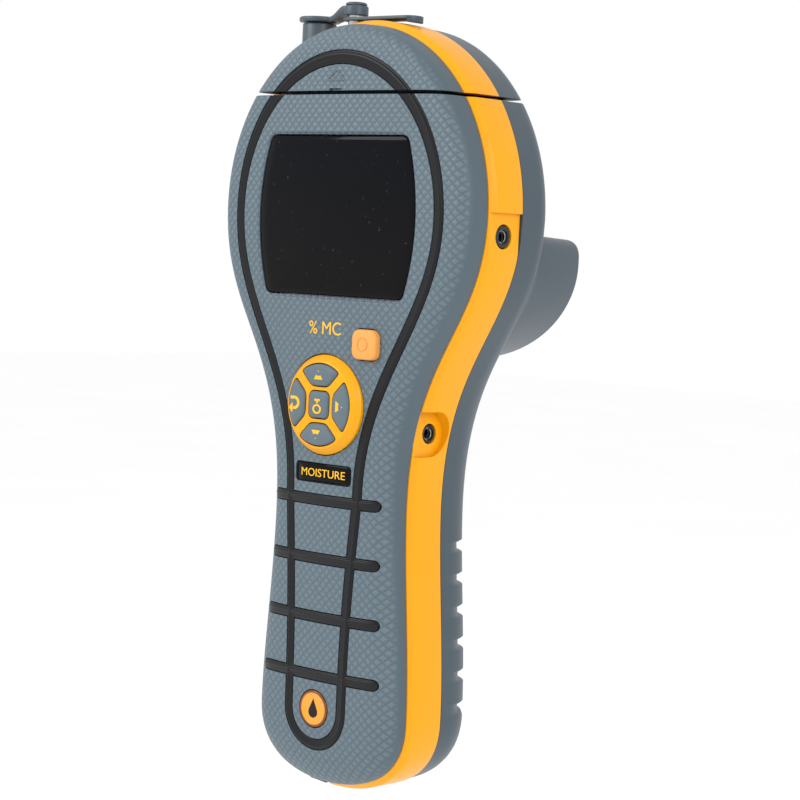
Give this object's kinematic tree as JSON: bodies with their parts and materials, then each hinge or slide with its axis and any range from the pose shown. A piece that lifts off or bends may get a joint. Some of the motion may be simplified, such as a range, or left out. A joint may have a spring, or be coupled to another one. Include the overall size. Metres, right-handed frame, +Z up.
{
  "type": "moisture meter",
  "caption": "Hand-held moisture meter with rounded head, display, thumb pad, ribbed grip, sensor dome at the back and a lift-off cap over its pins.",
  "frame": {"origin": "middle of the hand grip: 50 mm above the heel, on the centre plane, half-way through the side band", "axes": "+Z up the handle toward the cap, -Y out of the display face, +Y out of the sensor dome, +X toward the side with the two jacks"},
  "size_m": [0.0905, 0.0628, 0.2092],
  "materials": {
    "textured_grey": "grey-blue moulding with a fine diamond emboss",
    "smooth_grey": "satin dark grey-blue moulding",
    "amber": "satin amber moulding",
    "black_rubber": "matt black rubber",
    "black_plastic": "matt black moulding",
    "gloss_black": "polished near-black acrylic",
    "key_grey": "matt grey silicone rubber",
    "orange": "satin orange moulding",
    "steel": "bright turned steel",
    "board_green": "green solder mask",
    "foil": "printed metal can"
  },
  "bodies": {
    "case": {"front_shell": "textured_grey", "side_band": "amber", "rear_shell": "smooth_grey", "front_inlay": "black_rubber", "display_window": "gloss_black", "display_module": "foil", "main_board": "board_green", "keypad_mat": "black_rubber", "nav_web": "amber", "badge_plate": "gloss_black", "emblem_disc": "orange", "upper_jack": "black_plastic", "lower_jack": "black_plastic", "strap_eyelet": "black_plastic", "antenna_plate": "board_green", "buzzer": "black_plastic", "electrode_block": "black_plastic", "probe_socket": "black_plastic", "left_pin": "steel", "right_pin": "steel", "left_pin_nut": "steel", "right_pin_nut": "steel", "battery_tray": "black_plastic", "battery": "foil", "battery_snap": "black_plastic", "case_screw_1": "steel", "case_screw_2": "steel", "case_screw_3": "steel", "case_screw_4": "steel"},
    "up_key": {"up_key": "key_grey"},
    "right_key": {"right_key": "key_grey"},
    "down_key": {"down_key": "key_grey"},
    "back_key": {"back_key": "key_grey"},
    "centre_key": {"centre_key": "key_grey"},
    "function_key": {"function_key": "orange"},
    "battery_door": {"battery_door": "smooth_grey"},
    "cap": {"cap_front": "textured_grey", "cap_band": "amber", "cap_rear": "smooth_grey", "cap_inlay": "black_rubber", "cap_liner": "black_plastic", "probe_sleeve": "smooth_grey", "cover_post": "steel"},
    "probe_cover": {"probe_cover": "smooth_grey"},
    "port_cover": {"port_cover": "smooth_grey"}
  },
  "joints": [
    {"name": "up_key_press", "type": "slide", "parent": "case", "child": "up_key", "axis": [0, 1, 0], "range_m": [0, 0.001], "stiffness_N_per_m": 400},
    {"name": "right_key_press", "type": "slide", "parent": "case", "child": "right_key", "axis": [0, 1, 0], "range_m": [0, 0.001], "stiffness_N_per_m": 400},
    {"name": "down_key_press", "type": "slide", "parent": "case", "child": "down_key", "axis": [0, 1, 0], "range_m": [0, 0.001], "stiffness_N_per_m": 400},
    {"name": "back_key_press", "type": "slide", "parent": "case", "child": "back_key", "axis": [0, 1, 0], "range_m": [0, 0.001], "stiffness_N_per_m": 400},
    {"name": "centre_key_press", "type": "slide", "parent": "case", "child": "centre_key", "axis": [0, 1, 0], "range_m": [0, 0.001], "stiffness_N_per_m": 400},
    {"name": "function_key_press", "type": "slide", "parent": "case", "child": "function_key", "axis": [0, 1, 0], "range_m": [0, 0.001], "stiffness_N_per_m": 400},
    {"name": "cap_slide", "type": "slide", "parent": "case", "child": "cap", "axis": [0, 0, 1], "range_m": [0, 0.03]},
    {"name": "battery_door_hinge", "type": "hinge", "parent": "case", "child": "battery_door", "pos_m": [0, 0.0232, -0.0347], "axis": [-1, 0, 0], "range_deg": [0, 95]},
    {"name": "probe_cover_swivel", "type": "hinge", "parent": "cap", "child": "probe_cover", "pos_m": [-0.0106, 0, 0.155], "axis": [0, 0, 1], "range_deg": [-100, 100]},
    {"name": "port_cover_swivel", "type": "hinge", "parent": "cap", "child": "port_cover", "pos_m": [-0.0106, 0, 0.155], "axis": [0, 0, 1], "range_deg": [-35, 35]}
  ]
}
